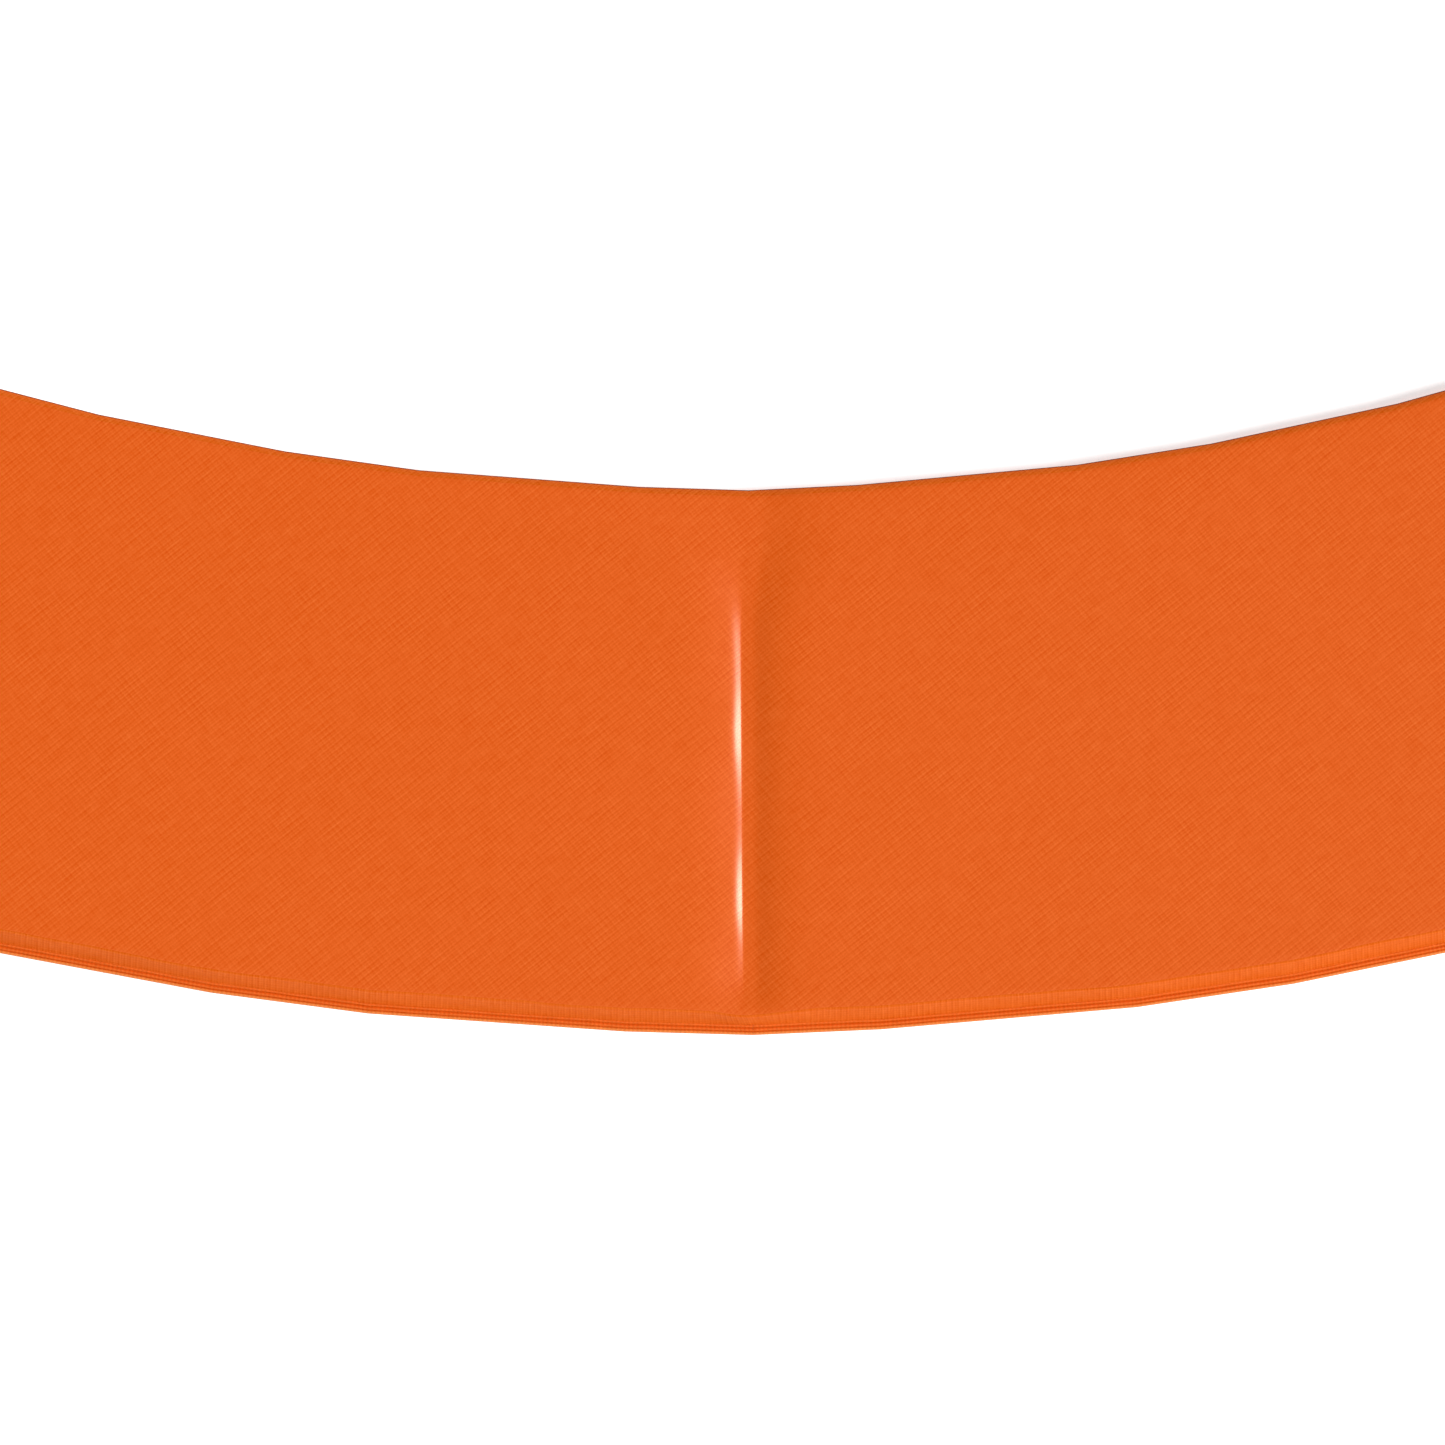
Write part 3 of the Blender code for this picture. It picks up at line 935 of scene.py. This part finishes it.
def strap_path():
    """Along the strap from its hinge, round the hook's bar and back over itself."""
    reach = 0.0018  # of the turn round the bar
    path = [(-0.0003 - 0.0981 * t, 0.0) for t in np.linspace(0, 1, 30)]
    path += [(-0.1060, -0.0002), (-0.1120, -0.0009), (-0.1160, -0.0015)]
    for turn in np.linspace(-80, -280, 11):
        angle = math.radians(turn)
        path.append((HOOK_BAR + reach * math.cos(angle), reach * math.sin(angle)))
    path += [(-0.1160, 0.0013), (-0.1120, 0.0006), (-0.1060, 0.0011), (-0.0985, 0.00125)]
    path += [(-0.0985 + 0.0125 * t, 0.00128) for t in np.linspace(0.1, 1, 6)]
    return path


def stitch(start, end, side):
    """Rings of points of one short raised stitch, on the underside of a flat strap."""
    rings = []
    for t in np.linspace(0, 1, 5):
        arch = math.sin(math.pi * t)
        middle = start + (end - start) * t + (0, 0, -STITCH_RISE * arch)
        size = STITCH_RADIUS * (0.45 + 0.55 * arch)
        rings.append([
            middle + side * size * math.cos(a) + np.array((0, 0, size * math.sin(a)))
            for a in np.linspace(0, 2 * math.pi, STITCH_SIDES, endpoint=False)
        ])
    return rings


def stitches_along(first, last):
    """The stitches of one straight line of sewing."""
    first, last = np.array(first), np.array(last)
    length = np.linalg.norm(last - first)
    way = (last - first) / length
    side = np.cross((0, 0, 1.0), way)
    count = max(1, round(length / STITCH_PITCH))
    for i in range(count):
        start = first + way * length * (i + 0.1) / count
        end = first + way * length * (i + 0.9) / count
        yield stitch(start, end, side)


def add_stitches(name, lines):
    """Black stitches along straight lines, as one piece. Lines' ends are (x, y, z)."""
    points, faces = [], []
    for rings in [rings for line in lines for rings in stitches_along(*line)]:
        base = len(points)
        points += [tuple(point) for ring in rings for point in ring]
        for first in range(base, len(points) - STITCH_SIDES, STITCH_SIDES):
            for k in range(STITCH_SIDES):
                a, b = first + k, first + (k + 1) % STITCH_SIDES
                faces.append((a, b, b + STITCH_SIDES, a + STITCH_SIDES))
        faces.append(tuple(reversed(range(base, base + STITCH_SIDES))))
        faces.append(tuple(range(len(points) - STITCH_SIDES, len(points))))
    mesh = bpy.data.meshes.new(name)
    mesh.from_pydata(points, [], faces)
    mesh.uv_layers.new(name="weave")
    mesh.shade_smooth()
    return add_piece(name, mesh, THREAD)


def box_and_cross(x0, x1, half, z):
    """The lines of a box stitch with a cross in it."""
    a, b, c, d = (x0, -half, z), (x1, -half, z), (x1, half, z), (x0, half, z)
    return [(a, b), (b, c), (c, d), (d, a), (a, c), (b, d)]


def round_corners(points, radius):
    """A closed outline with each corner swept by a short curve."""
    out = []
    count = len(points)
    for i in range(count):
        before, here, after = (np.array(points[k % count]) for k in (i - 1, i, i + 1))
        first = here + (before - here) / np.linalg.norm(before - here) * radius
        last = here + (after - here) / np.linalg.norm(after - here) * radius
        for t in np.linspace(0, 1, 6):
            out.append(tuple((1 - t) ** 2 * first + 2 * t * (1 - t) * here + t * t * last))
    return out


def hook_outlines():
    """The flat loop for the strap, and the neck with its open ring."""
    far, half = -0.1295, 0.0120
    loop = [(HOOK_BAR, -half), (HOOK_BAR, half), (far, half * 0.86), (far, -half * 0.86)]
    centre, reach = -0.1468, 0.0083
    ring = [(far - 0.0004, 0.0), (far - 0.0050, 0.0014), (centre + reach * 0.94, reach * 0.34)]
    for turn in np.linspace(20, 285, 30):
        angle = math.radians(turn)
        ring.append((centre + reach * math.cos(angle), reach * math.sin(angle)))
    return round_corners(loop, 0.0022), ring


def add_rod(curve, points, radii, closed):
    """A round rod through points in the X-Y plane."""
    spline = curve.splines.new("POLY")
    spline.points.add(len(points) - 1)
    for target, (x, y), radius in zip(spline.points, points, radii):
        target.co = (x, y, HOOK_Z, 1)
        target.radius = radius
    spline.use_cyclic_u = closed


def add_hook(name):
    """A moulded hook: a flat loop for the strap and an open ring, thinner at its tip."""
    curve = bpy.data.curves.new(name, "CURVE")
    curve.dimensions = "3D"
    curve.bevel_depth = 0.001  # a radius of 1 is one millimetre
    curve.bevel_resolution = 4
    curve.use_fill_caps = True
    loop, ring = hook_outlines()
    tapers = [min(1.0, 0.72 + 0.09 * left) for left in reversed(range(len(ring)))]
    add_rod(curve, loop, [LOOP_RADIUS] * len(loop), closed=True)
    add_rod(curve, ring, [RING_RADIUS * taper for taper in tapers], closed=False)
    drawn = bpy.data.objects.new(name, curve)
    bpy.context.scene.collection.objects.link(drawn)
    graph = bpy.context.evaluated_depsgraph_get()
    mesh = bpy.data.meshes.new_from_object(drawn.evaluated_get(graph))
    bpy.data.objects.remove(drawn)
    mesh.shade_smooth()
    mesh.name = name
    return add_piece(name, mesh, PLASTIC)


def make_strap(number):
    """The tack sewn under the pad, and the strap with its stitches and hook that swings on it."""
    sewn_half = STRAP_WIDTH / 2 - STITCH_INSET
    strap = ribbon(f"webbing_{number}", strap_path(), STRAP_WIDTH, STRAP_THICKNESS)
    end_lines = box_and_cross(-0.1100, -0.0885, sewn_half, -0.00068)
    end_stitches = add_stitches(f"strap_thread_{number}", end_lines)
    hook = add_hook(f"hook_{number}")
    path = [(0.0015, -0.0001), (0.0030, 0.0001)]
    path += [(0.0030 + 0.0226 * t, 0.0001) for t in np.linspace(0.1, 1, 8)]
    tack = ribbon(f"tack_{number}", path, STRAP_WIDTH, TACK_THICKNESS)
    path = [(x, z + 0.0014) for x, z in path]
    fold = ribbon(f"tack_fold_{number}", path, STRAP_WIDTH * 0.99, TACK_FOLD_THICKNESS)
    tack_lines = box_and_cross(0.0045, 0.0230, sewn_half, -0.00078)
    tack_stitches = add_stitches(f"tack_thread_{number}", tack_lines)
    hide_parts(f"elastic_strap_{number}")
    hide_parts(f"strap_hook_{number}")
    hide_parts(f"strap_tack_{number}")
    place = strap_frame(number)
    for piece, owner, slot in (
        (strap, f"strap_{number}", "elastic"),
        (end_stitches, f"strap_{number}", "elastic"),
        (hook, f"strap_{number}", "hook"),
        (tack, half_of(number), "elastic"),
        (fold, half_of(number), "elastic"),
        (tack_stitches, half_of(number), "elastic"),
    ):
        piece.data.transform(place)
        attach(piece, owner)


# ---- room, lights and camera ---------------------------------------------------------------
def make_floor():
    mesh = bpy.data.meshes.new("floor")
    signs = ((-1, -1), (1, -1), (1, 1), (-1, 1))
    corners = [(x * FLOOR_SIZE, y * FLOOR_SIZE, FLOOR_Z) for x, y in signs]
    mesh.from_pydata(corners, [], [(0, 1, 2, 3)])
    g = Graph("pale floor")
    g.set(Base_Color=(0.90, 0.90, 0.90, 1.0), Roughness=1.0, Specular_IOR_Level=0.0)
    g.set(Emission_Color=(1.0, 1.0, 1.0, 1.0), Emission_Strength=FLOOR_GLOW)
    floor = add_piece("floor", mesh, g.material)
    floor.visible_glossy = False


def make_world():
    """A pale room: bright at the horizon, dim overhead, a little brighter towards the light."""
    world = bpy.data.worlds.new("pale room")
    bpy.context.scene.world = world
    world.use_nodes = True
    nodes, links = world.node_tree.nodes, world.node_tree.links

    def combine(operation, *values):
        node = nodes.new("ShaderNodeMath")
        node.operation = operation
        for socket, value in zip(node.inputs, values):
            if isinstance(value, bpy.types.NodeSocket):
                links.new(value, socket)
            else:
                socket.default_value = value
        return node.outputs[0]

    way = nodes.new("ShaderNodeSeparateXYZ")
    links.new(nodes.new("ShaderNodeTexCoord").outputs["Generated"], way.inputs[0])
    rise = combine("MULTIPLY_ADD", way.outputs["X"], LEAN_X, OVERHEAD_LIGHT - HORIZON_LIGHT)
    above = combine("MAXIMUM", way.outputs["Z"], 0.0)
    sky = combine("ADD", combine("MULTIPLY", rise, above), HORIZON_LIGHT)
    sky = combine("ADD", sky, combine("MULTIPLY", way.outputs["Y"], LEAN_Y))
    below = nodes.new("ShaderNodeMapRange")
    below.inputs["From Min"].default_value = -0.30
    below.inputs["From Max"].default_value = -0.05
    below.inputs["To Min"].default_value = BELOW_LIGHT
    below.inputs["To Max"].default_value = 1.0
    links.new(way.outputs["Z"], below.inputs["Value"])
    # Reflections see the room at less than its full brightness, so that low angles keep colour
    mirrored = nodes.new("ShaderNodeLightPath").outputs["Is Glossy Ray"]
    dimmed = combine("SUBTRACT", 1.0, combine("MULTIPLY", mirrored, REFLECTION_LOSS))
    sky = combine("MULTIPLY", sky, dimmed)
    background = nodes["Background"]
    background.inputs["Color"].default_value = (1.0, 1.0, 1.0, 1.0)
    links.new(combine("MULTIPLY", sky, below.outputs["Result"]), background.inputs["Strength"])


def make_sun():
    from_zenith, from_x = math.radians(SUN_FROM_ZENITH), math.radians(SUN_FROM_X)
    flat = math.sin(from_zenith)
    way = Vector((flat * math.cos(from_x), flat * math.sin(from_x), math.cos(from_zenith)))
    sun = bpy.data.lights.new("main light", "SUN")
    sun.energy = SUN_ENERGY
    sun.angle = math.radians(SUN_WIDTH)
    lamp = bpy.data.objects.new("main light", sun)
    lamp.rotation_mode = "QUATERNION"
    lamp.rotation_quaternion = (-way).to_track_quat("-Z", "Y")
    bpy.context.scene.collection.objects.link(lamp)


def make_camera():
    """Straight above the seam at -Y, through a long lens."""
    data = bpy.data.cameras.new("camera")
    data.sensor_width, data.lens = SENSOR, LENS
    data.clip_start, data.clip_end = 0.1, 200.0
    camera = bpy.data.objects.new("camera", data)
    camera.location = (CAMERA_X, CAMERA_Y, PAD_TOP + SEEN_WIDTH * LENS / SENSOR)
    camera.rotation_euler = (0, 0, math.radians(CAMERA_TURN))
    bpy.context.scene.collection.objects.link(camera)
    bpy.context.scene.camera = camera


# ---- put together -----------------------------------------------------------------------------
def main():
    make_camera()
    make_world()
    make_sun()
    make_floor()
    for numbers in ((8, 1), (2,), (3,), (4, 5), (6,), (7,)):
        make_top(numbers)
        make_bottom(numbers)
        make_hem(numbers)
    for number in range(1, SEGMENTS + 1):
        make_foam(number)
        make_strap(number)
    bpy.context.scene.view_settings.view_transform = "Standard"


main()
